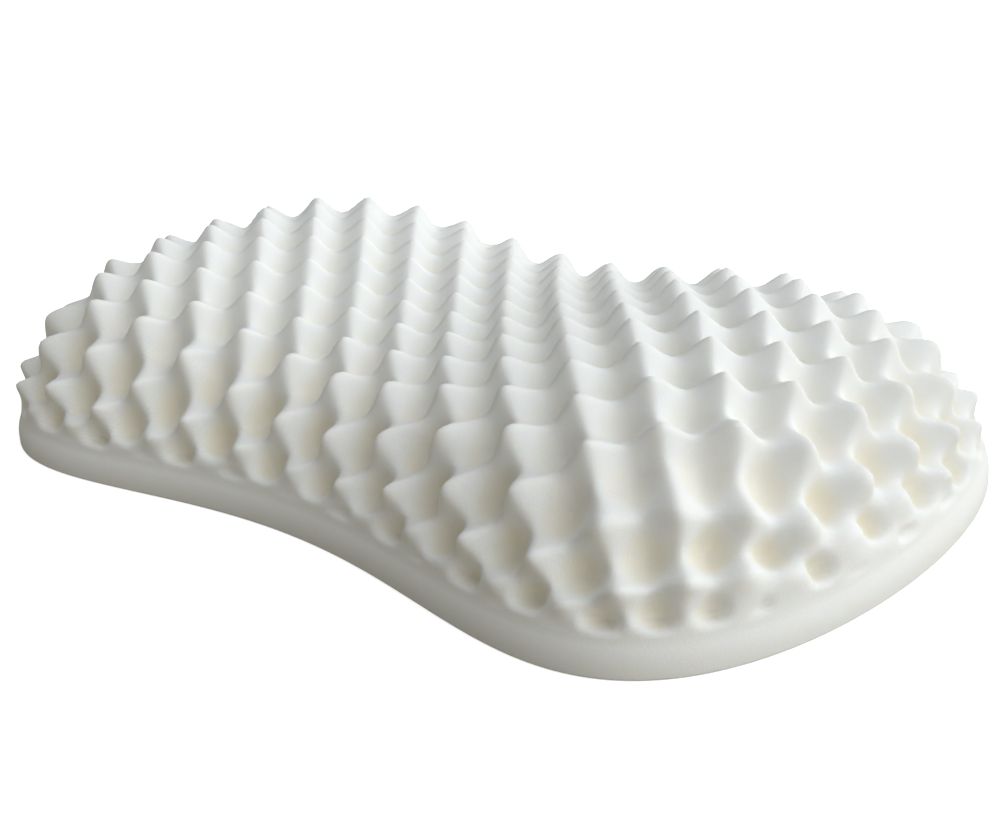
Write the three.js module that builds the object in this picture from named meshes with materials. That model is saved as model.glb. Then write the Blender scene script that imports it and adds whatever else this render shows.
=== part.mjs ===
import * as THREE from 'three';

// Latex pillow: one moulded foam body, flat underneath, with a low smooth rim and a
// twin-lobed crown covered in pointed bumps. Millimetres, +Z up, length along X.

// Bump lattice, turned an eighth of a turn to the length and crowded towards the rim
const pitch = 30.4;
const latticeTurn = Math.PI / 4;
const latticeShiftY = -8.5;
const stepsPerPitch = 4;
const latticeReach = 17;
const crowding = 0.15;
const crowdingX = 304;
const crowdingY = 167;
const reachX = 365;
const reachY = 234;

// Bean outline: half length, mean half width, fullness of the lobes and of the corners
const halfLength = 290;
const halfWidth = 199;
const lobeFullness = 43.5;
const cornerFullness = 2.5;
const outlineSteps = 150;

// Inner dome that the bumps stand out from, square to its surface
const domeFoot = -6.4;
const domeRun = 56.5;
const domeRoundness = 1.31;
const domeSlopeGain = 1.5;
const slopeStep = 10.6;
const crownLength = 274;
const crownWidth = 152;
const crownMiddle = 66.6;
const crownLobe = 107;
const crownEnd = -153;
const crownTilt = 5;
const crownSide = -16.4;
const crownLobeTilt = -17.6;
const crownShoulder = -37.4;

// Bumps: depth of foam over the inner dome half way up them, height of their tips over
// that, and how far the skin dips between them along the two lattice directions
const middleOffset = 25;
const tipRise = 10;
const grooveDepth = 10.5;
const saddleDepth = 12;
const grooveSharpness = 1.6;
const saddleSharpness = 1.3;
const uprightCut = 0.15;

// Rim: its section up from the flat underside. A wall rises from its shoulder and turns
// into the bumpy flank over these depths into the dome, and the bumps grow with height
const shoulder = 1;
const bandHeight = 15;
const rimSection = [
  { inset: 5, z: 0 },
  { inset: 1.5, z: 1.5 },
  { inset: 0, z: 5 },
  { inset: 0, z: 7 },
  { inset: shoulder, z: bandHeight },
];
const wallStart = 13;
const wallRing = 16;
const wallEnd = 27;
const wallLean = 0.28;
const wallRise = 0.6;
const closestFlank = 3;
const roomSoftness = 6;
const bumpsLow = 17;
const bumpsHigh = 40;
const gridInset = 21.5;

const foamColour = 0xf3f1ea;
const foamRoughness = 0.8;

function outlinePoint(turn) {
  return new THREE.Vector2(
    halfLength * Math.cos(turn),
    halfWidth * Math.sin(turn) + lobeFullness * Math.sin(3 * turn) + cornerFullness * Math.cos(4 * turn),
  );
}

// Ring that follows the outline at a set distance inside it
function outlineRing(inset) {
  const nudge = 0.001;
  return Array.from({ length: outlineSteps }, (_, k) => {
    const turn = (2 * Math.PI * k) / outlineSteps;
    const along = outlinePoint(turn + nudge).sub(outlinePoint(turn - nudge)).normalize();
    return outlinePoint(turn).add(new THREE.Vector2(-along.y, along.x).multiplyScalar(inset));
  });
}

const outline = outlineRing(0);

// Nearest point of the outline, and the distance from it, positive inside
function nearestBorder(x, y) {
  const spot = new THREE.Vector2(x, y);
  let nearest = outline[0];
  let inside = false;
  outline.forEach((a, k) => {
    const b = outline[(k + 1) % outlineSteps];
    const edge = b.clone().sub(a);
    const to = spot.clone().sub(a);
    const share = THREE.MathUtils.clamp(to.dot(edge) / edge.lengthSq(), 0, 1);
    const foot = a.clone().addScaledVector(edge, share);
    if (foot.distanceTo(spot) < nearest.distanceTo(spot)) nearest = foot;
    if ((a.y > y) !== (b.y > y) && to.x < (to.y * edge.x) / edge.y) inside = !inside;
  });
  return { nearest, inset: nearest.distanceTo(spot) * (inside ? 1 : -1) };
}

function crownHeight(x, y) {
  const u = x / crownLength;
  const v = y / crownWidth;
  return crownMiddle + crownLobe * u ** 2 + crownEnd * u ** 4 + crownTilt * v
    + crownSide * v ** 2 + crownLobeTilt * u ** 2 * v + crownShoulder * v ** 4;
}

function domeHeight(x, y) {
  const run = THREE.MathUtils.clamp(1 - nearestBorder(x, y).inset / domeRun, 0, 1);
  const rise = (1 - run ** domeRoundness) ** (1 / domeRoundness);
  return domeFoot + crownHeight(x, y) * rise;
}

// Direction that a bump points in
function outwards(x, y) {
  const slopeX = (domeHeight(x + slopeStep, y) - domeHeight(x - slopeStep, y)) / (2 * slopeStep);
  const slopeY = (domeHeight(x, y + slopeStep) - domeHeight(x, y - slopeStep)) / (2 * slopeStep);
  return new THREE.Vector3(-domeSlopeGain * slopeX, -domeSlopeGain * slopeY, 1).normalize();
}

// Dip between two bumps that many lattice steps along, none at a tip
function dip(step, depth, sharpness) {
  return depth * Math.abs(Math.sin((Math.PI * step) / stepsPerPitch)) ** sharpness;
}

function flatPlace(i, j) {
  const spot = new THREE.Vector2(i, j).multiplyScalar(pitch / stepsPerPitch);
  return spot.rotateAround(new THREE.Vector2(0, 0), latticeTurn).add(new THREE.Vector2(0, latticeShiftY));
}

function latticePlace(i, j) {
  const flat = flatPlace(i, j);
  return new THREE.Vector2(
    flat.x * (1 - crowding * (flat.x / crowdingX) ** 2),
    flat.y * (1 - crowding * (flat.y / crowdingY) ** 2),
  );
}

// Skin half way up the bumps: the dome's offset, kept inside the outline, which turns into
// a smooth wall at the rim
function middleSkin(place) {
  const { nearest, inset } = nearestBorder(place.x, place.y);
  const direction = outwards(place.x, place.y);
  const lean = middleOffset * Math.hypot(direction.x, direction.y);
  const room = (1 + (lean / (inset - closestFlank)) ** roomSoftness) ** (-1 / roomSoftness);
  const past = Math.min(inset, wallEnd) - wallStart;
  const inwards = place.clone().sub(nearest).normalize();
  const foot = nearest.clone().addScaledVector(inwards, shoulder + wallLean * past);
  const wall = new THREE.Vector3(foot.x, foot.y, bandHeight + wallRise * past);
  const flank = new THREE.Vector3(
    place.x + direction.x * middleOffset * room,
    place.y + direction.y * middleOffset * room,
    Math.max(domeHeight(place.x, place.y) + direction.z * middleOffset, wall.z),
  );
  return wall.lerp(flank, THREE.MathUtils.smoothstep(inset, wallStart, wallEnd));
}

function bumpPoint(i, j) {
  const place = latticePlace(i, j);
  const direction = outwards(place.x, place.y);
  const cut = direction.clone().setZ(direction.z + uprightCut).normalize();
  const depth = dip(i, grooveDepth, grooveSharpness) + dip(j, saddleDepth, saddleSharpness);
  const relief = direction.multiplyScalar(tipRise).addScaledVector(cut, -depth);
  const skin = middleSkin(place);
  return skin.addScaledVector(relief, THREE.MathUtils.smoothstep(skin.z, bumpsLow, bumpsHigh));
}

const positions = [];
const faces = [];

function addPoint(point) {
  positions.push(point.x, point.y, point.z);
  return positions.length / 3 - 1;
}

// Bumpy crown: lattice nodes well inside the outline
const nodes = new Map();
const nodeName = (i, j) => `${i} ${j}`;
const lastStep = latticeReach * stepsPerPitch;
for (let i = -lastStep; i <= lastStep; i += 1) {
  for (let j = -lastStep; j <= lastStep; j += 1) {
    const flat = flatPlace(i, j);
    const place = latticePlace(i, j);
    if (Math.abs(flat.x) < reachX && Math.abs(flat.y) < reachY && nearestBorder(place.x, place.y).inset > gridInset) {
      nodes.set(nodeName(i, j), { index: addPoint(bumpPoint(i, j)) });
    }
  }
}

// Cells with all four corners, and the loop of edges that bounds them
const openEdges = new Map();
for (let i = -lastStep; i < lastStep; i += 1) {
  for (let j = -lastStep; j < lastStep; j += 1) {
    const corners = [nodes.get(nodeName(i, j)), nodes.get(nodeName(i + 1, j)),
      nodes.get(nodeName(i + 1, j + 1)), nodes.get(nodeName(i, j + 1))];
    if (corners.every((corner) => corner !== undefined)) {
      const [a, b, c, d] = corners;
      faces.push(a.index, b.index, c.index, a.index, c.index, d.index);
      corners.forEach((from, k) => {
        const to = corners[(k + 1) % corners.length];
        if (!openEdges.delete(nodeName(to.index, from.index))) {
          openEdges.set(nodeName(from.index, to.index), { from, to });
        }
      });
    }
  }
}
const follow = new Map([...openEdges.values()].map(({ from, to }) => [from, to]));
const crownLoop = [follow.keys().next().value];
while (follow.get(crownLoop.at(-1)) !== crownLoop[0]) crownLoop.push(follow.get(crownLoop.at(-1)));

// Joins two closed loops that run the same way round, each time across the shorter gap
function joinLoops(lower, upper) {
  const gap = (a, b) => new THREE.Vector3().fromArray(positions, 3 * a).distanceTo(new THREE.Vector3().fromArray(positions, 3 * b));
  const start = upper.indexOf(upper.toSorted((a, b) => gap(lower[0], a) - gap(lower[0], b))[0]);
  const below = (k) => lower[k % lower.length];
  const above = (k) => upper[(start + k) % upper.length];
  let a = 0;
  let b = 0;
  while (a < lower.length || b < upper.length) {
    const alongLower = b === upper.length || (a < lower.length && gap(below(a + 1), above(b)) < gap(below(a), above(b + 1)));
    faces.push(below(a), alongLower ? below(a + 1) : above(b + 1), above(b));
    if (alongLower) a += 1;
    else b += 1;
  }
}

// Rim rings and the foot of the wall, each joined to the loop below it, up to the crown
const rings = rimSection.map(({ inset, z }) => outlineRing(inset).map((p) => addPoint(new THREE.Vector3(p.x, p.y, z))));
rings.push(outlineRing(wallRing).map((p) => addPoint(middleSkin(p))));
rings.push(crownLoop.map(({ index }) => index));
rings.slice(1).forEach((upper, level) => joinLoops(rings[level], upper));

// Flat underside
THREE.ShapeUtils.triangulateShape(outlineRing(rimSection[0].inset), []).forEach(([a, b, c]) => {
  faces.push(rings[0][a], rings[0][c], rings[0][b]);
});

const geometry = new THREE.BufferGeometry();
geometry.setAttribute('position', new THREE.Float32BufferAttribute(positions, 3));
geometry.setIndex(faces);
geometry.computeBoundingBox();
const middle = geometry.boundingBox.getCenter(new THREE.Vector3());
geometry.translate(0, -middle.y, 0);
geometry.computeVertexNormals();

const body = new THREE.Mesh(
  geometry,
  new THREE.MeshStandardMaterial({ color: foamColour, roughness: foamRoughness, metalness: 0 }),
);
body.name = 'pillow';

const part = new THREE.Group();
part.name = 'latex_pillow';
part.add(body);
export default part;
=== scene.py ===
import math
from types import SimpleNamespace

import bmesh
import bpy
from mathutils import Matrix, Vector, kdtree, noise


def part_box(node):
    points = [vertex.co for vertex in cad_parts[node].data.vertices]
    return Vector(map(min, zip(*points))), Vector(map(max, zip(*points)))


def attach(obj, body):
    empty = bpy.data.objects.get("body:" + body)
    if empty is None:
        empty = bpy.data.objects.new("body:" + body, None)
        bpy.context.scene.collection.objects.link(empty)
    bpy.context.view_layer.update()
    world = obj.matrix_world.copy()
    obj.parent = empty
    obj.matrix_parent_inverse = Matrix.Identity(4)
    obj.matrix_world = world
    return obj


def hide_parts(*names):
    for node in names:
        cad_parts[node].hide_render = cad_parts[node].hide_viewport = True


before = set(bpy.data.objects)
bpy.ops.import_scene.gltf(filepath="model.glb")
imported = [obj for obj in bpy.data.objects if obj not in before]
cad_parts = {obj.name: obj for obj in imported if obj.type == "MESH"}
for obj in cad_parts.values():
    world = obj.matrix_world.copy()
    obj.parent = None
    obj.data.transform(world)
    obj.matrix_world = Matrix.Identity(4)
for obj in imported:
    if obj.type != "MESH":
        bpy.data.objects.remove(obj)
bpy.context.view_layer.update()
pillow_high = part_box("pillow")[1]

bl_info = {
    "name": "Moulded Latex Pillow",
    "version": (1, 0, 0),
    "blender": (4, 5, 0),
    "location": "3D View > Sidebar > Pillow",
    "description": "A bean-shaped latex foam pillow covered in pointed massage bumps",
    "category": "Add Mesh",
}

# Attribute of the skin's points that says how much painted shade and warm bounce light they get: a darker,
# warmer colour in the pits
PAINTED_PIT_SHADE = "pit_tint"


def length(name, description, default):
    """A property that holds a distance in metres."""
    return bpy.props.FloatProperty(
        name=name, description=description, default=default, unit="LENGTH", subtype="DISTANCE", precision=5
    )


def number(name, description, default):
    """A property that holds a plain number."""
    return bpy.props.FloatProperty(name=name, description=description, default=default, precision=4)


def count(name, description, default, least):
    """A property that holds a whole number."""
    return bpy.props.IntProperty(name=name, description=description, default=default, min=least)


def colour(name, description, default):
    """A property that holds a colour."""
    return bpy.props.FloatVectorProperty(
        name=name, description=description, default=default, size=3, min=0.0, max=1.0, subtype="COLOR"
    )


def angle(name, description, degrees):
    """A property that holds an angle, given in degrees."""
    return bpy.props.FloatProperty(
        name=name, description=description, default=math.radians(degrees), unit="ROTATION", subtype="ANGLE"
    )


class OutlineSizes(bpy.types.PropertyGroup):
    """The bean-shaped outline seen from above"""

    half_length: length("Half length", "From the middle to either end", pillow_high.x)
    half_width: length("Mean half width", "From the middle line to the sides, without the lobes", 0.199)
    lobe_fullness: length("Lobe fullness", "How far the two lobes swell and the waists draw in", 0.0435)
    corner_fullness: length("Corner fullness", "How far the outline's corners are filled out", 0.0025)


class RimSizes(bpy.types.PropertyGroup):
    """The smooth rim round the foot of the pillow, and the wall above it"""

    edge_round: length("Edge round", "Radius of the edge that the pillow stands on", 0.0016)
    band_height: length("Band height", "Height of the whole band", 0.0150)
    band_straight: length("Band straight", "Height up to which the band stands upright", 0.0060)
    shoulder: length("Shoulder", "How far the band draws in at its top", 0.0020)
    wall_start: length("Wall start", "Depth into the dome where the wall starts", 0.0130)
    wall_end: length("Wall end", "Depth into the dome where the wall has turned into the flank", 0.0270)
    wall_lean: number("Wall lean", "How far the wall leans in, for each unit into the dome", 0.26)
    wall_rise: number("Wall rise", "How far the wall rises, for each unit into the dome", 0.6)
    closest: length("Closest flank", "How near the outline the flank may lean", 0.003)
    room_softness: number("Room softness", "How suddenly the flank stops leaning there", 6.0)


class DomeSizes(bpy.types.PropertyGroup):
    """The inner dome that the bumps stand out from"""

    foot: length("Foot", "Height of the dome's edge", -0.0064)
    run: length("Flank run", "How far in from the outline the flank reaches full height", 0.0565)
    roundness: number("Flank roundness", "How full the flank is", 1.31)
    middle: length("Middle height", "Height of the dome in the middle", 0.0666)
    half_span: length("Lobe span", "Length that the lobes' heights are set over", 0.274)
    half_depth: length("Side span", "Width that the side heights are set over", 0.152)
    lobe: length("Lobe height", "Rise towards the two lobes", 0.107)
    end: length("End fall", "Fall beyond the lobes", -0.153)
    tilt: length("Back tilt", "Rise towards the back", 0.005)
    side: length("Side fall", "Fall towards the front and back", -0.0164)
    lobe_tilt: length("Lobe tilt", "How much the lobes lean to the front", -0.0176)
    shoulder: length("Shoulder fall", "Steep fall at the very front and back", -0.0374)


class BumpSizes(bpy.types.PropertyGroup):
    """The pointed bumps"""

    pitch: length("Pitch", "Distance between bumps along the lattice", 0.0304)
    turn: angle("Lattice turn", "Angle of the lattice to the pillow's length", 45.0)
    shift: length("Lattice shift", "Place of the middle bump, towards the back", -0.0085)
    crowding: number("Crowding", "How much closer the bumps stand towards the rim", 0.15)
    crowding_length: length("Crowding length", "Distance along the length that crowding is set over", 0.304)
    crowding_width: length("Crowding width", "Distance across that crowding is set over", 0.167)
    middle: length("Middle", "Depth of foam over the dome half way up the bumps", 0.025)
    rise: length("Rise", "Height of a bump's tip over that", 0.010)
    groove: length("Groove depth", "How far the skin dips between bumps along the first direction", 0.0105)
    saddle: length("Saddle depth", "How far the skin dips between bumps along the second direction", 0.0120)
    groove_sharpness: number("Groove sharpness", "1 is a knife-edged ridge and 2 is a soft wave", 1.6)
    saddle_sharpness: number("Saddle sharpness", "1 is a knife-edged ridge and 2 is a soft wave", 1.3)
    upright: number("Upright", "How much the dips between the bumps are cut from above", 0.15)
    lean: number("Lean", "How strongly the bumps on the flank lean outwards", 1.5)
    lean_reach: length("Lean reach", "Distance over which the flank's slope is felt", 0.0106)


class FootSizes(bpy.types.PropertyGroup):
    """How the bumps and the pits between them start above the rim"""

    bumps_low: length("Bumps low", "Height where the bumps begin to stand out", 0.0200)
    bumps_high: length("Bumps high", "Height where the bumps stand out in full", 0.0430)
    pits_low: length("Pits low", "Height where the pits begin to sink in", 0.0200)
    pits_high: length("Pits high", "Height where the pits are at full depth", 0.0290)
    pits_edge: length("Pits edge", "How much shallower the pits are where no bumps stand out", 0.0022)


class CornerSizes(bpy.types.PropertyGroup):
    """The calmer bumps on the right front corner"""

    later: length("Later", "How much higher up the bumps stand out in full there", 0.0170)
    start: length("Start", "Distance to the right where the corner begins", 0.2200)
    end: length("End", "Distance to the right where it is calm in full", 0.2550)
    back: length("Back", "Distance to the back where it ends", 0.0400)
    front: length("Front", "Distance to the front where it is calm in full", 0.0300)
    top: length("Top", "Height above which the bumps are like the rest", 0.0750)
    saddles: number("Saddles", "How much broader the bumps are there along the second direction", 1.6)
    ridges: number("Ridges", "The same along the first direction, as a share of that", 0.35)


class LobeSizes(bpy.types.PropertyGroup):
    """The lowest pits on the front of the right lobe, which sit further back"""

    drift: length("Drift", "How much further back they sit", 0.0065)
    left: length("Left", "Distance to the right where that begins", 0.1700)
    right: length("Right", "Distance to the right where that is full", 0.2150)
    back: length("Back", "Distance to the front where that begins", 0.0600)
    front: length("Front", "Distance to the front where that is full", 0.1000)
    shallow: length("Shallow", "Depth into the dome up to which it is full", 0.0260)
    deep: length("Deep", "Depth into the dome where it ends", 0.0480)


class PaintedPitShadeSizes(bpy.types.PropertyGroup):
    """Where painted shade and warm bounce light darken the pits"""

    # Painted pit shade: full at the given depth into a pit and below the low height, fading above it to the
    # faint share at the high height
    depth: length("Depth", "Depth in a pit where its colour shows in full", 0.0085)
    low: length("Low", "Height below which the pits' colour shows in full", 0.0550)
    high: length("High", "Height above which it is faintest", 0.0900)
    faint: number("Faint", "How much of it is left there", 0.35)


class MeshDetail(bpy.types.PropertyGroup):
    """How finely the pillow is divided"""

    columns: count("Columns", "Faces round the pillow", 720, 60)
    crown_rows: count("Crown rows", "Faces up to the top", 102, 20)
    spine: number("Spine", "Share of the length that the middle line of the mesh takes", 0.55)
    unevenness: length("Unevenness", "How far the moulded skin wanders from its true shape", 0.0007)
    grain: length("Grain", "Size of that wandering", 0.045)
    seed: count("Seed", "Picks one such wandering, the same in each run", 7, 1)


class FoamLooks(bpy.types.PropertyGroup):
    """Colours and finish of the latex foam"""

    skin: colour("Skin", "Colour of the bumps", (0.858, 0.870, 0.868))
    # The pits' colour is painted shade and warm bounce light, darker and warmer than the skin
    pit: colour("Pits", "Colour deep between the bumps", (0.825, 0.77, 0.625))
    cloud: colour("Clouding", "Colour of the faint cloudy patches", (0.840, 0.850, 0.838))
    cloud_scale: number("Cloud scale", "How many cloudy patches there are to a metre", 14.0)
    patch_scale: number("Patch scale", "How many smaller patches there are to a metre", 55.0)
    cloud_share: number("Cloud share", "How strongly the clouding shows", 1.2)
    pore_size: length("Pore size", "Distance between the fine pores", 0.0009)
    # Painted shade in the pores: the darker pit colour mixed in at them
    pore_shade_share: number("Pore share", "How strongly the pits' colour shows at the pores", 0.06)
    roughness: number("Roughness", "Least roughness of the skin", 0.72)
    relief: number("Relief", "How strongly pores and patches show as relief", 0.35)
    relief_depth: length("Relief depth", "Depth of that relief", 0.0003)
    gloss: number("Gloss", "Strength of the skin's gloss", 0.3)
    glow: number("Light through", "Share of the light that passes through the skin", 0.35)
    glow_depth: length("Light depth", "How deep that light reaches", 0.004)


class StageLooks(bpy.types.PropertyGroup):
    """Floor, light and camera"""

    floor: colour("Floor", "Colour of the floor", (0.93, 0.93, 0.93))
    bounce: colour("Floor bounce", "Colour of the light that the floor throws back", (0.44, 0.39, 0.28))
    glow: number("Floor glow", "How far the floor is lit up to white", 0.7)
    key_power: number("Key light", "Strength of the soft light from the right", 2.42)
    key_softness: angle("Key softness", "How wide that light looks from the pillow", 105.0)
    key_tint: colour("Key tint", "Colour of that light", (0.94, 0.975, 1.0))
    side_power: number("Side light", "Strength of the weaker light from the right front", 0.68)
    side_softness: angle("Side softness", "How wide that light looks from the pillow", 80.0)
    side_tint: colour("Side tint", "Colour of that light", (0.97, 0.985, 1.0))
    fill_power: number("Fill light", "Strength of the light from all round", 0.31)
    fill_tint: colour("Fill tint", "Colour of that light", (0.985, 0.985, 0.955))
    azimuth: angle("Azimuth", "Where the camera stands, round from the front", 41.99)
    elevation: angle("Elevation", "How far the camera looks down", 22.46)
    roll: angle("Roll", "How far the camera leans", -3.19)
    distance: length("Distance", "From the camera to the point it looks at", 0.9896)
    target_x: length("Target X", "Point that the camera looks at, along the length", -0.0182)
    target_y: length("Target Y", "Point that the camera looks at, across the width", 0.0445)
    focal_length: number("Focal length", "In millimetres, on a sensor 36 mm wide", 57.36)


def ease(value, start, end):
    """Goes smoothly from 0 at the start to 1 at the end."""
    share = min(max((value - start) / (end - start), 0.0), 1.0)
    return share * share * (3 - 2 * share)


def values(group):
    """A property group's values as plain Python numbers, which are quicker to read."""
    return SimpleNamespace(**{name: getattr(group, name) for name in type(group).__annotations__})


class PillowForm:
    """Works out where any point of the pillow's skin lies."""

    OUTLINE_STEPS = 1800
    LOBE_WAVES = 3
    CORNER_WAVES = 4
    NUDGE = 1e-5
    SPREAD_STEPS = 5

    def __init__(self, scene):
        self.outline = values(scene.pillow_outline)
        self.rim = values(scene.pillow_rim)
        self.dome = values(scene.pillow_dome)
        self.bumps = values(scene.pillow_bumps)
        self.foot = values(scene.pillow_foot)
        self.corner = values(scene.pillow_corner)
        self.lobe = values(scene.pillow_lobe)
        self.tint = values(scene.pillow_tint)
        ring = [self.outline_point(math.tau * k / self.OUTLINE_STEPS) for k in range(self.OUTLINE_STEPS)]
        self.border = kdtree.KDTree(len(ring))
        for k, spot in enumerate(ring):
            self.border.insert(spot, k)
        self.border.balance()
        self.centring = -(max(p.y for p in ring) + min(p.y for p in ring)) / 2

    def outline_point(self, turn):
        """The outline at that turn, from the +X end towards the back."""
        sizes = self.outline
        lobes = sizes.lobe_fullness * math.sin(self.LOBE_WAVES * turn)
        corners = sizes.corner_fullness * math.cos(self.CORNER_WAVES * turn)
        across = sizes.half_width * math.sin(turn) + (lobes + corners)
        return Vector((sizes.half_length * math.cos(turn), across, 0.0))

    def ring_point(self, turn, inset):
        """A point that far inside the outline."""
        along = self.outline_point(turn + self.NUDGE) - self.outline_point(turn - self.NUDGE)
        inwards = Vector((-along.y, along.x, 0.0)).normalized()
        return self.outline_point(turn) + inwards * inset

    def inset_of(self, x, y):
        """How far a place is from the outline."""
        return self.border.find((x, y, 0.0))[2]

    def dome_height(self, x, y, inset=None):
        """The inner dome's height: a curved crown that a rounded flank runs up to."""
        dome = self.dome
        if inset is None:
            inset = self.inset_of(x, y)
        u = x / dome.half_span
        v = y / dome.half_depth
        crown = dome.middle + dome.lobe * u**2 + dome.end * u**4 + dome.tilt * v
        crown += dome.side * v**2 + dome.lobe_tilt * u**2 * v + dome.shoulder * v**4
        run = min(max(1 - inset / dome.run, 0.0), 1.0)
        return dome.foot + crown * (1 - run**dome.roundness) ** (1 / dome.roundness)

    def outwards(self, x, y):
        """The direction that a bump points in."""
        reach = self.bumps.lean_reach
        slope_x = (self.dome_height(x + reach, y) - self.dome_height(x - reach, y)) / (2 * reach)
        slope_y = (self.dome_height(x, y + reach) - self.dome_height(x, y - reach)) / (2 * reach)
        lean = self.bumps.lean
        return Vector((-lean * slope_x, -lean * slope_y, 1.0)).normalized()

    def spread(self, place, size):
        """Undoes the crowding along one direction, by a few steps of Newton's method."""
        crowding = self.bumps.crowding
        flat = place
        for _ in range(self.SPREAD_STEPS):
            error = flat * (1 - crowding * (flat / size) ** 2) - place
            flat -= error / (1 - 3 * crowding * (flat / size) ** 2)
        return flat

    def lattice_place(self, x, y):
        """Where a place is on the lattice, counted in bumps along its two directions."""
        bumps = self.bumps
        flat_x = self.spread(x, bumps.crowding_length)
        flat_y = self.spread(y, bumps.crowding_width) - bumps.shift
        cosine = math.cos(bumps.turn) / bumps.pitch
        sine = math.sin(bumps.turn) / bumps.pitch
        return flat_x * cosine + flat_y * sine, flat_y * cosine - flat_x * sine

    def calmness(self, place):
        """How calm the bumps are at that place: 1 on the right front corner and 0 away from it."""
        corner = self.corner
        return ease(place.x, corner.start, corner.end) * ease(-place.y, -corner.back, corner.front)

    def drift_at(self, place):
        """How much further back a pit sits at that place."""
        lobe = self.lobe
        drift = lobe.drift * (1 - ease(self.inset_of(place.x, place.y), lobe.shallow, lobe.deep))
        drift *= ease(place.x, lobe.left, lobe.right)
        drift *= ease(-place.y, lobe.back, lobe.front)
        return drift

    def dip_at(self, place, broader):
        """How far the skin dips under the bumps' tips, in the grooves and at the saddles."""
        bumps = self.bumps
        first, second = self.lattice_place(place.x, place.y)
        second -= self.drift_at(place) / bumps.pitch
        along = bumps.groove_sharpness + broader * self.corner.ridges
        across = bumps.saddle_sharpness + broader
        groove = bumps.groove * abs(math.sin(math.pi * first)) ** along
        saddle = bumps.saddle * abs(math.sin(math.pi * second)) ** across
        return groove + saddle

    def middle_skin(self, x, y, outwards):
        """The skin half way up the bumps: a smooth wall at the rim, then the dome's offset."""
        rim, middle = self.rim, self.bumps.middle
        nearest, _, inset = self.border.find((x, y, 0.0))
        inwards = (Vector((x, y, 0.0)) - nearest).normalized()
        past = min(inset, rim.wall_end) - rim.wall_start
        wall = nearest + inwards * (rim.shoulder + rim.wall_lean * past)
        wall.z = rim.band_height + rim.wall_rise * past
        lean = middle * math.hypot(outwards.x, outwards.y)
        room = (1 + (lean / (inset - rim.closest)) ** rim.room_softness) ** (-1 / rim.room_softness)
        height = max(self.dome_height(x, y, inset) + middle * outwards.z, wall.z)
        flank = Vector((x + middle * room * outwards.x, y + middle * room * outwards.y, height))
        return wall.lerp(flank, ease(inset, rim.wall_start, rim.wall_end))

    def crown_point(self, place):
        """A point of the bumpy crown over that place, and how much painted pit shade it gets."""
        bumps, foot, tint = self.bumps, self.foot, self.tint
        outwards = self.outwards(place.x, place.y)
        skin = self.middle_skin(place.x, place.y, outwards)
        calm = self.calmness(place)
        shown = ease(skin.z, foot.bumps_low, foot.bumps_high + self.corner.later * calm)
        sunk = ease(skin.z, foot.pits_low, foot.pits_high)
        broader = calm * self.corner.saddles * (1 - ease(skin.z, foot.bumps_high, self.corner.top))
        dip = self.dip_at(place, broader)
        cut = (outwards + Vector((0.0, 0.0, bumps.upright))).normalized()
        hollow = max(dip - bumps.rise - foot.pits_edge * (1 - shown), 0.0) * sunk
        raised = outwards * bumps.rise - cut * min(dip, bumps.rise)
        # Painted pit shade: darker in deeper pits, fainter towards the top
        shade_fading = 1 - (1 - tint.faint) * ease(skin.z, tint.low, tint.high)
        return skin + raised * shown - cut * hollow, ease(hollow, 0.0, tint.depth) * shade_fading


class Stations:
    """The rows of the pillow's skin, from the middle of the underside round to the middle of the top.

    Each stretch gives the point at a turn and at a share of the stretch, and its share of painted pit
    shade.
    """

    UNDERSIDE_ROWS = 6
    EDGE_ROWS = 5
    BAND_ROWS = 1
    SHOULDER_ROWS = 5

    def __init__(self, form, detail):
        self.form = form
        self.spine = detail.spine
        self.rows = []
        self.add(self.underside, self.UNDERSIDE_ROWS)
        self.add(self.edge, self.EDGE_ROWS)
        self.add(self.band, self.BAND_ROWS)
        self.add(self.shoulder, self.SHOULDER_ROWS)
        self.add(self.crown, detail.crown_rows)
        self.rows.append((self.crown, 1.0))

    def add(self, stretch, steps):
        """Adds a stretch of that many rows of faces."""
        self.rows.extend((stretch, k / steps) for k in range(steps))

    def spine_point(self, turn):
        """The point of the middle line that the rows at that turn start and end on."""
        return Vector((self.spine * self.form.outline_point(turn).x, 0.0, 0.0))

    def at(self, turn, row):
        """The point of the skin at that turn and row, and how much painted pit shade it gets."""
        stretch, share = self.rows[row]
        return stretch(turn, share)

    def underside(self, turn, share):
        """The flat underside, out to the edge."""
        edge = self.form.ring_point(turn, self.form.rim.edge_round)
        return self.spine_point(turn).lerp(edge, share), 0.0

    def edge(self, turn, share):
        """The rounded edge that the pillow stands on."""
        radius = self.form.rim.edge_round
        bend = share * math.pi / 2
        spot = self.form.ring_point(turn, radius * (1 - math.sin(bend)))
        spot.z = radius * (1 - math.cos(bend))
        return spot, 0.0

    def band(self, turn, share):
        """The upright part of the band."""
        rim = self.form.rim
        spot = self.form.ring_point(turn, 0.0)
        spot.z = rim.edge_round + (rim.band_straight - rim.edge_round) * share
        return spot, 0.0

    def shoulder(self, turn, share):
        """The top of the band, where it draws in."""
        rim = self.form.rim
        spot = self.form.ring_point(turn, rim.shoulder * share**2)
        spot.z = rim.band_straight + (rim.band_height - rim.band_straight) * share
        return spot, 0.0

    def crown(self, turn, share):
        """The wall and the bumpy crown, up to the middle line."""
        foot = self.form.ring_point(turn, self.form.rim.wall_start)
        return self.form.crown_point(foot.lerp(self.spine_point(turn), share))


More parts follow.
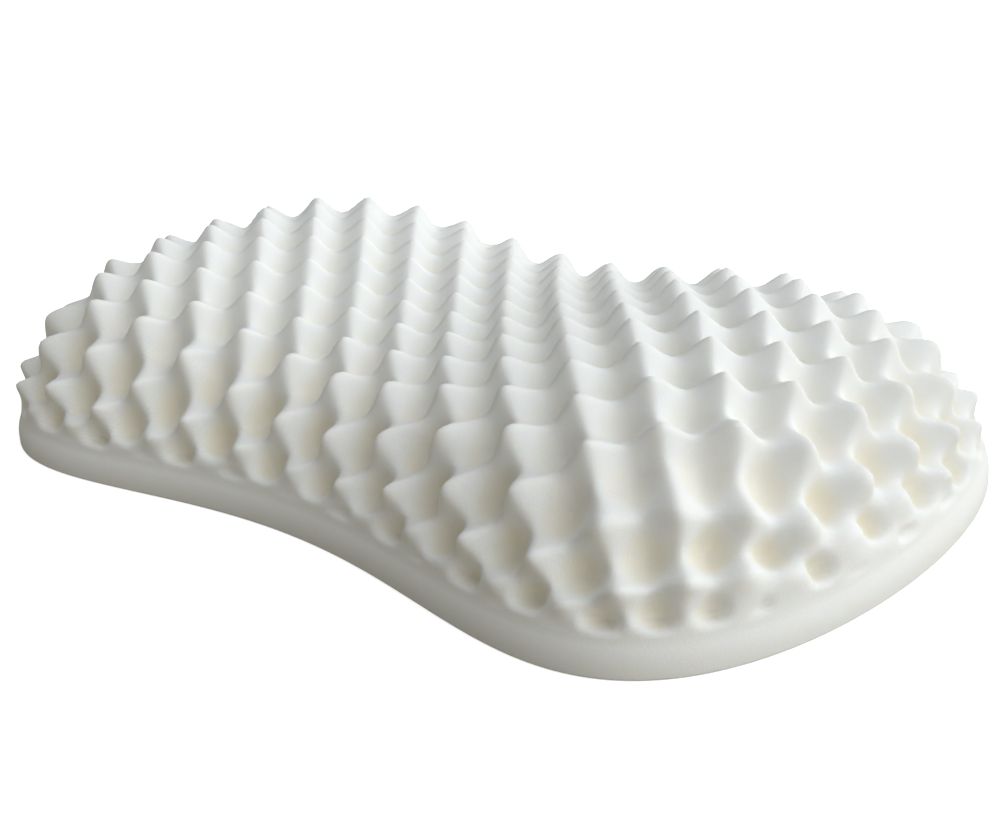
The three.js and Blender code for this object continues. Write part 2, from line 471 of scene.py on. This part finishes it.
class Wire:
    """A socket's value in a material. Sums with it add the Math nodes that work them out."""

    def __init__(self, board, socket):
        self.board = board
        self.socket = socket

    def maths(self, operation, first, second):
        return self.board.node("ShaderNodeMath", {"operation": operation}, {0: first, 1: second})

    def __add__(self, other):
        return self.maths("ADD", self, other)

    def __radd__(self, other):
        return self.maths("ADD", other, self)

    def __sub__(self, other):
        return self.maths("SUBTRACT", self, other)

    def __rsub__(self, other):
        return self.maths("SUBTRACT", other, self)

    def __mul__(self, other):
        return self.maths("MULTIPLY", self, other)

    def __rmul__(self, other):
        return self.maths("MULTIPLY", other, self)


class Board:
    """The node tree of one material."""

    # Places of the Mix node's colour sockets, which share their names with its other kinds
    MIX_SHARE = 0
    MIX_FIRST = 6
    MIX_SECOND = 7
    MIX_RESULT = 2

    def __init__(self, name):
        self.material = bpy.data.materials.new(name)
        self.material.use_nodes = True
        self.tree = self.material.node_tree
        self.tree.nodes.clear()

    def node(self, kind, settings=None, inputs=None, output=0):
        """Adds a node: its settings first, then the values or wires of its sockets."""
        added = self.tree.nodes.new(kind)
        for name, value in (settings or {}).items():
            setattr(added, name, value)
        for name, value in (inputs or {}).items():
            socket = added.inputs[name]
            if isinstance(value, Wire):
                self.tree.links.new(value.socket, socket)
            elif isinstance(value, (int, float)):
                socket.default_value = value
            else:
                missing = len(socket.default_value) - len(value)
                socket.default_value = [*value] + [1.0] * missing
        return Wire(self, added.outputs[output] if added.outputs else None)

    def mix_colours(self, share, first, second):
        """The first colour with that share of the second in it."""
        sockets = {self.MIX_SHARE: share, self.MIX_FIRST: first, self.MIX_SECOND: second}
        return self.node("ShaderNodeMix", {"data_type": "RGBA"}, sockets, self.MIX_RESULT)

    def noise(self, place, scale, detail=2.0):
        """A soft cloudy pattern."""
        return self.node("ShaderNodeTexNoise", None, {"Vector": place, "Scale": scale, "Detail": detail})

    def finish(self, surface):
        """The finished material, with that surface."""
        self.node("ShaderNodeOutputMaterial", None, {"Surface": surface})
        return self.material


def foam_material(looks):
    """Latex foam: a matt off-white skin with fine pores and faint clouding, with painted shade and warm
    bounce light darkening the pits and the pores.
    """
    cloud_detail = 3.0
    specks_to_pores = 0.6
    cloud_roughness, speck_roughness = 0.1, 0.08
    pore_relief, speck_relief, patch_relief = 0.5, 0.5, 1.5
    red_green_blue_reach = (1.0, 0.75, 0.5)
    board = Board("latex_foam")
    place = board.node("ShaderNodeTexCoord", output="Object")
    # Share of painted shade and warm bounce light in the pits, carried on the skin's points
    tint = board.node("ShaderNodeAttribute", {"attribute_name": PAINTED_PIT_SHADE}, output="Fac")
    cloud = board.noise(place, looks.cloud_scale, cloud_detail)
    patch = board.noise(place, looks.patch_scale)
    pore_scale = 1 / looks.pore_size
    pores = board.node("ShaderNodeTexVoronoi", {"feature": "F1"}, {"Vector": place, "Scale": pore_scale})
    speck = board.noise(place, specks_to_pores * pore_scale)
    # Painted shade in the pits: the skin turns towards the darker, warmer pit colour
    base = board.mix_colours(tint, looks.skin, looks.pit)
    base = board.mix_colours(cloud * patch * looks.cloud_share, base, looks.cloud)
    # Painted shade in the fine pores, in the pit colour
    base = board.mix_colours((1 - pores) * looks.pore_shade_share, base, looks.pit)
    relief = pores * pore_relief + speck * speck_relief + patch * patch_relief
    bump = {"Strength": looks.relief, "Distance": looks.relief_depth, "Height": relief}
    surface = board.node(
        "ShaderNodeBsdfPrincipled",
        {"subsurface_method": "RANDOM_WALK"},
        {
            "Base Color": base,
            "Roughness": looks.roughness + cloud * cloud_roughness + speck * speck_roughness,
            "Normal": board.node("ShaderNodeBump", None, bump),
            "Specular IOR Level": looks.gloss,
            "Subsurface Weight": looks.glow,
            "Subsurface Radius": red_green_blue_reach,
            "Subsurface Scale": looks.glow_depth,
        },
    )
    return board.finish(surface)


def floor_material(looks):
    """A plain pale floor that looks white, while the pillow gets a weaker and warmer light from it."""
    grain_scale = 3.0
    grain_share = 0.2
    grain_shade = 0.98
    roughness, grain_roughness = 0.85, 0.05
    gloss = 0.1
    board = Board("studio_floor")
    place = board.node("ShaderNodeTexCoord", output="Object")
    grain = board.noise(place, grain_scale)
    shown = board.node(
        "ShaderNodeBsdfPrincipled",
        None,
        {
            "Base Color": board.mix_colours(
                grain * grain_share, looks.floor, [grain_shade * part for part in looks.floor]
            ),
            "Roughness": roughness + grain * grain_roughness,
            "Specular IOR Level": gloss,
            "Emission Color": (1.0, 1.0, 1.0),
            "Emission Strength": looks.glow,
        },
    )
    thrown = board.node("ShaderNodeBsdfDiffuse", None, {"Color": looks.bounce})
    seen = board.node("ShaderNodeLightPath", output="Is Camera Ray")
    return board.finish(board.node("ShaderNodeMixShader", None, {0: seen, 1: thrown, 2: shown}))


def add_object(name, mesh_maker, material):
    """Makes a mesh object at the origin from a finished bmesh."""
    mesh = bpy.data.meshes.new(name)
    mesh_maker.to_mesh(mesh)
    mesh_maker.free()
    mesh.materials.append(material)
    made = bpy.data.objects.new(name, mesh)
    bpy.context.scene.collection.objects.link(made)
    return made


def uneven(spot, detail):
    """A small seeded wander that the moulded skin has, none of it under the pillow."""
    lift = min(max(spot.z / pillow_high.z, 0.0), 1.0)
    return noise.noise_vector(spot / detail.grain) * detail.unevenness * lift


class PILLOW_OT_mould_body(bpy.types.Operator):
    """Makes the pillow's skin and foam material"""

    bl_idname = "pillow.mould_body"
    bl_label = "Mould Pillow"

    MERGE_DISTANCE = 1e-6

    def execute(self, context):
        skin = self.mould(context.scene)
        if any(not edge.is_manifold for edge in skin.edges):
            raise RuntimeError("the pillow's skin isn't closed")
        pillow = add_object("pillow_skin", skin, foam_material(context.scene.pillow_foam))
        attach(pillow, "root")
        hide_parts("pillow")
        return {"FINISHED"}

    def mould(self, scene):
        """The closed skin, from a flat grid with columns round the pillow and rows up it."""
        detail = scene.pillow_detail
        stations = Stations(PillowForm(scene), detail)
        columns = detail.columns
        rows = len(stations.rows) - 1
        skin = bmesh.new()
        bmesh.ops.create_grid(skin, x_segments=columns, y_segments=rows, size=1.0)
        # Each point's share of painted pit shade
        shares = skin.verts.layers.float.new(PAINTED_PIT_SHADE)
        noise.seed_set(detail.seed)
        for vert in skin.verts:
            # The grid runs from -1 to 1 both ways
            column = round((vert.co.x + 1) / 2 * columns) % columns
            row = round((vert.co.y + 1) / 2 * rows)
            spot, share = stations.at(math.tau * column / columns, row)
            spot.y += stations.form.centring
            vert.co = spot + uneven(spot, detail)
            vert[shares] = share
        bmesh.ops.remove_doubles(skin, verts=skin.verts, dist=self.MERGE_DISTANCE)
        bmesh.ops.dissolve_degenerate(skin, edges=skin.edges, dist=self.MERGE_DISTANCE)
        bmesh.ops.recalc_face_normals(skin, faces=skin.faces)
        for face in skin.faces:
            face.smooth = True
        return skin


class PILLOW_OT_set_stage(bpy.types.Operator):
    """Makes the floor, the light and the camera"""

    bl_idname = "pillow.set_stage"
    bl_label = "Set Stage"

    FLOOR_REACH = 30.0
    FLOOR_DROP = 0.0002
    FLOOR_SQUARES = 8
    SENSOR_WIDTH = 36.0

    # Where the lights come from: how far to the camera's right, towards the camera and up
    KEY_FROM = (0.95, 0.1, 0.6)
    SIDE_FROM = (0.8, 0.75, 0.35)
    LAMP_DISTANCE = 2.0

    def execute(self, context):
        scene = context.scene
        looks = scene.pillow_stage
        self.add_floor(looks)
        right, up, back, spot = self.view(looks)
        self.add_camera(scene, looks, Matrix((right, up, back)).transposed(), spot)
        flat_back = Vector((back.x, back.y, 0.0)).normalized()
        axes = (right, flat_back)
        self.add_sun(scene, "key", axes, self.KEY_FROM, looks.key_power, looks.key_softness, looks.key_tint)
        self.add_sun(
            scene, "side", axes, self.SIDE_FROM, looks.side_power, looks.side_softness, looks.side_tint
        )
        self.add_fill(scene, looks)
        scene.view_settings.view_transform = "Standard"
        return {"FINISHED"}

    def add_floor(self, looks):
        """The plain floor, just under the pillow."""
        squares = self.FLOOR_SQUARES
        sheet = bmesh.new()
        bmesh.ops.create_grid(sheet, x_segments=squares, y_segments=squares, size=self.FLOOR_REACH)
        bmesh.ops.translate(sheet, verts=sheet.verts, vec=(0.0, 0.0, -self.FLOOR_DROP))
        add_object("floor", sheet, floor_material(looks))

    def view(self, looks):
        """The camera's right, up and back directions, and its place."""
        flat = math.cos(looks.elevation)
        back = Vector(
            (math.sin(looks.azimuth) * flat, -math.cos(looks.azimuth) * flat, math.sin(looks.elevation))
        )
        level_right = Vector((0.0, 0.0, 1.0)).cross(back).normalized()
        level_up = back.cross(level_right)
        right = level_right * math.cos(looks.roll) + level_up * math.sin(looks.roll)
        up = level_up * math.cos(looks.roll) - level_right * math.sin(looks.roll)
        target = Vector((looks.target_x, looks.target_y, 0.0))
        return right, up, back, target + back * looks.distance

    def add_camera(self, scene, looks, turned, spot):
        """The camera at the photograph's viewing angle."""
        lens = bpy.data.cameras.new("camera")
        lens.sensor_fit = "HORIZONTAL"
        lens.sensor_width = self.SENSOR_WIDTH
        lens.lens = looks.focal_length
        camera = bpy.data.objects.new("camera", lens)
        camera.matrix_world = Matrix.Translation(spot) @ turned.to_4x4()
        scene.collection.objects.link(camera)
        scene.camera = camera

    def add_sun(self, scene, name, axes, shares, power, softness, tint):
        """A distant light as soft as a large screen that looks that wide from the pillow."""
        right, flat_back = axes
        towards = right * shares[0] + flat_back * shares[1] + Vector((0.0, 0.0, shares[2]))
        light = bpy.data.lights.new(name, "SUN")
        light.energy = power
        light.angle = softness
        light.color = tint
        lamp = bpy.data.objects.new(name, light)
        lamp.rotation_euler = (-towards).to_track_quat("-Z", "Y").to_euler()
        lamp.location = towards * self.LAMP_DISTANCE
        scene.collection.objects.link(lamp)

    def add_fill(self, scene, looks):
        """The faint light from all round."""
        world = bpy.data.worlds.new("studio")
        scene.world = world
        world.use_nodes = True
        background = world.node_tree.nodes["Background"]
        background.inputs["Color"].default_value = (*looks.fill_tint, 1.0)
        background.inputs["Strength"].default_value = looks.fill_power


class PILLOW_PT_sidebar(bpy.types.Panel):
    """Lists the pillow's operators and sizes"""

    bl_idname = "PILLOW_PT_sidebar"
    bl_label = "Latex Pillow"
    bl_space_type = "VIEW_3D"
    bl_region_type = "UI"
    bl_category = "Pillow"

    def draw(self, context):
        layout = self.layout
        layout.operator(PILLOW_OT_mould_body.bl_idname)
        layout.operator(PILLOW_OT_set_stage.bl_idname)
        for holder, group in GROUPS.items():
            box = layout.box()
            box.label(text=group.__doc__)
            for name in group.__annotations__:
                box.prop(getattr(context.scene, holder), name)


GROUPS = {
    "pillow_outline": OutlineSizes,
    "pillow_rim": RimSizes,
    "pillow_dome": DomeSizes,
    "pillow_bumps": BumpSizes,
    "pillow_foot": FootSizes,
    "pillow_corner": CornerSizes,
    "pillow_lobe": LobeSizes,
    "pillow_tint": PaintedPitShadeSizes,
    "pillow_detail": MeshDetail,
    "pillow_foam": FoamLooks,
    "pillow_stage": StageLooks,
}
CLASSES = (*GROUPS.values(), PILLOW_OT_mould_body, PILLOW_OT_set_stage, PILLOW_PT_sidebar)


def register():
    for made in CLASSES:
        bpy.utils.register_class(made)
    for holder, group in GROUPS.items():
        setattr(bpy.types.Scene, holder, bpy.props.PointerProperty(type=group))


def unregister():
    for holder in GROUPS:
        delattr(bpy.types.Scene, holder)
    for made in reversed(CLASSES):
        bpy.utils.unregister_class(made)


def main():
    register()
    bpy.ops.pillow.mould_body()
    bpy.ops.pillow.set_stage()


if __name__ == "__main__":
    main()
